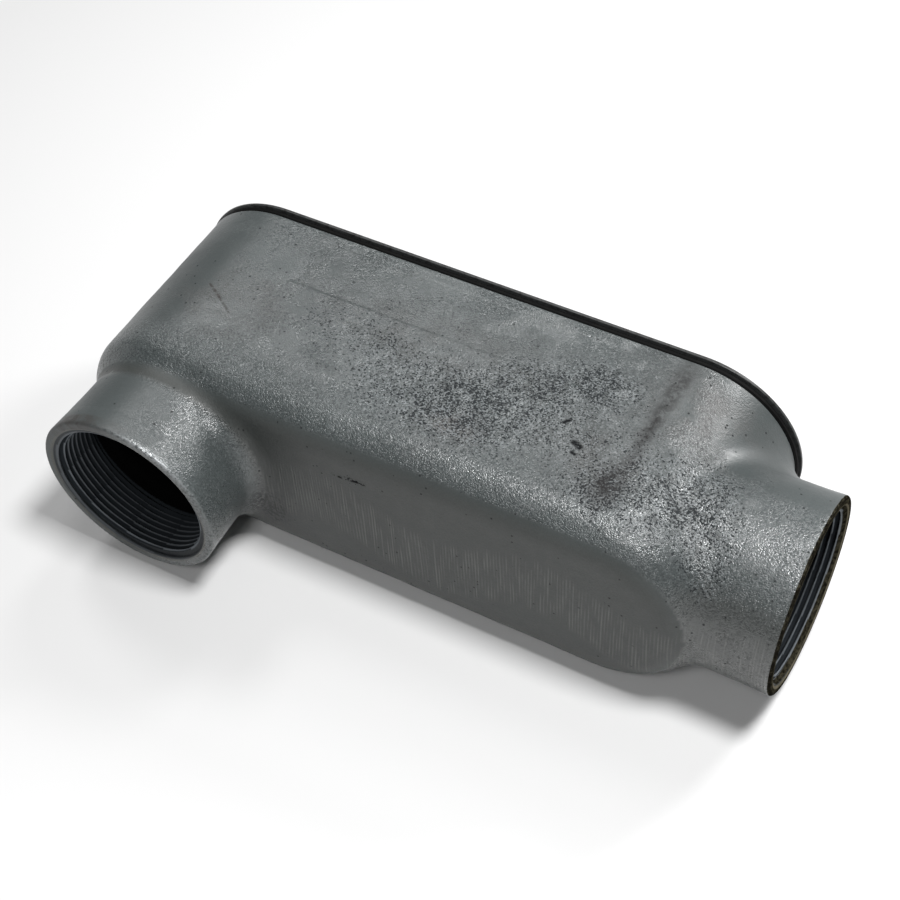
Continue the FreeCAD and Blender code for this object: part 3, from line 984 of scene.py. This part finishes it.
    def rims(self):
        """The machined rims, which have lost their paint down to stained metal, and a painted
        highlight on worn metal at the back rim's edge.
        """
        bare = self.step(self.plus(self.mask("rim"), self.times(self.clumps, 0.5)), 0.62, 0.8)
        metal = self.mix(self.step(self.noise(1.6, 4, 0.7), 0.38, 0.62),
                         COLOURS["oily"], COLOURS["bare"])
        self.lay(bare, metal, matt=1.0)
        self.lay(self.mask("thread"), COLOURS["thread"], matt=0.7)
        # Pale crests: a painted highlight on polished metal, fading deeper in as painted shade.
        self.crest = self.mask("crest")
        self.lay(self.crest, COLOURS["crest"])
        brink = self.times(self.mask("brink"), self.step(self.patches, 0.3, 0.55))
        self.lay(brink, COLOURS["brink"])
        nicks = self.plus(self.noise(1.1, 3, 0.7), self.times(self.mask("nick"), 0.3))
        self.lay(self.step(nicks, 0.72, 0.76), COLOURS["nick"])
        stain = self.times(self.mask("stain"), self.step(self.noise(4, 3, 0.6), 0.3, 0.6), 0.7)
        self.lay(stain, COLOURS["stain"], matt=0.8)
        # A painted highlight, pale and half metallic, on worn metal at the back rim's edge.
        self.shine = self.times(self.mask("shine"),
                                self.step(self.noise(1.4, 3, 0.7), 0.4, 0.52))
        self.lay(self.shine, COLOURS["shine"])

    def gloss(self):
        """Bare, worn and grubby places don't shine as the paint does."""
        rough = self.plus(0.21, self.times(self.clumps, 0.14))
        metallic = self.plus(self.times(self.crest, 0.6), self.times(self.shine, 0.5))
        self.finish(self.colour, self.plus(rough, self.times(self.matt, 0.45)), None, metallic,
                    self.minus(0.5, self.times(self.matt, 0.5)))

    def relief(self):
        """The paint's orange peel, the grinding marks and the bare rectangle's edge."""
        peel = self.minus(self.times(self.noise(1.25, 1), 0.5), self.times(self.off_middle, 0.45))
        normal = self.bump(peel, 0.32, self.plus(0.14, self.times(self.rugged, 0.8)))
        normal = self.bump(self.ground, 0.08, 1.0, normal)
        low, high, bottom, top = PAD
        pad = self.times(self.span(self.along, low, high, PAD_BLUR),
                         self.span(self.depth, bottom, top, PAD_BLUR), self.mask("side"))
        normal = self.bump(pad, -0.2, self.step(self.patches, 0.3, 0.6), normal)
        self.finish(normal=normal)


def rubber():
    """Matt black rubber, lighter along the middle of its edge: dusty there, and with a painted
    sheen on the bulge.
    """
    skin = Surface("gasket_rubber", 0.7)
    skin.shader.inputs["Specular IOR Level"].default_value = 0.12
    # Painted sheen and dust: the flank's middle is laid lighter.
    dust_and_sheen = skin.step(skin.noise(2.5, 4, 0.65), 0.45, 0.8)
    colour = skin.mix(skin.times(dust_and_sheen, skin.mask("flank")), (0.0015, 0.0015, 0.0015),
                      (0.007, 0.007, 0.006))
    return skin.finish(colour, normal=skin.bump(skin.noise(0.6, 2), 0.05))


def cover_paint():
    """Grey enamel on smooth sheet steel, darker all along its edge and with dark chips there."""
    paint = Surface("enamel_on_steel", 0.42)
    colour = paint.mix(paint.step(paint.noise(30, 2), 0.35, 0.7), (0.050, 0.055, 0.056),
                       (0.060, 0.065, 0.066))
    edge = paint.mask("edge")
    chips = paint.times(edge, paint.step(paint.noise(2.2, 4, 0.7), 0.5, 0.6))
    # The whole edge is laid darker.
    colour = paint.mix(paint.times(edge, 0.6), colour, (0.016, 0.016, 0.015))
    colour = paint.mix(chips, colour, (0.010, 0.009, 0.009))
    scuffs = paint.step(paint.noise(1.1, 3, 0.6, stretch=(9, 1, 1)), 0.66, 0.72)
    colour = paint.mix(paint.times(scuffs, 0.3), colour, (0.11, 0.115, 0.115))
    rough = paint.plus(0.34, paint.times(paint.noise(6, 3), 0.2))
    peel = paint.plus(paint.noise(1.6, 1), paint.times(paint.noise(0.5, 1), 0.3))
    return paint.finish(colour, rough, paint.bump(peel, 0.035))


def screw_steel():
    """Dull plated steel with fine turning marks and a little brown in its hollows."""
    steel = Surface("screw_steel", 0.4, 0.9)
    stain = steel.step(steel.noise(1.6, 4, 0.7), 0.5, 0.72)
    colour = steel.mix(steel.times(stain, 0.55), (0.33, 0.33, 0.32), (0.10, 0.075, 0.055))
    rough = steel.plus(0.3, steel.times(steel.noise(0.8, 3), 0.25))
    return steel.finish(colour, rough, steel.bump(steel.noise(0.35, 2), 0.02))


# ---------------------------------------------------------------- the part

def declare(piece, node, material):
    """Give a piece its material, hang it on the root body and hide the drawn part that it
    replaces.
    """
    piece.data.materials.clear()
    piece.data.materials.append(material)
    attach(piece, "root")
    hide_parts(node)


setup_camera()
make_studio()

enamel = Enamel().material
for piece in (make_skin(), make_lip(), *make_hub_rims()):
    stains(piece.data)
    declare(piece, "casting", enamel)
declare(make_gasket(), "gasket", rubber())
declare(make_cover(), "cover", cover_paint())
steel = screw_steel()
for node in SCREW_NODES:
    declare(make_screw(node), node, steel)
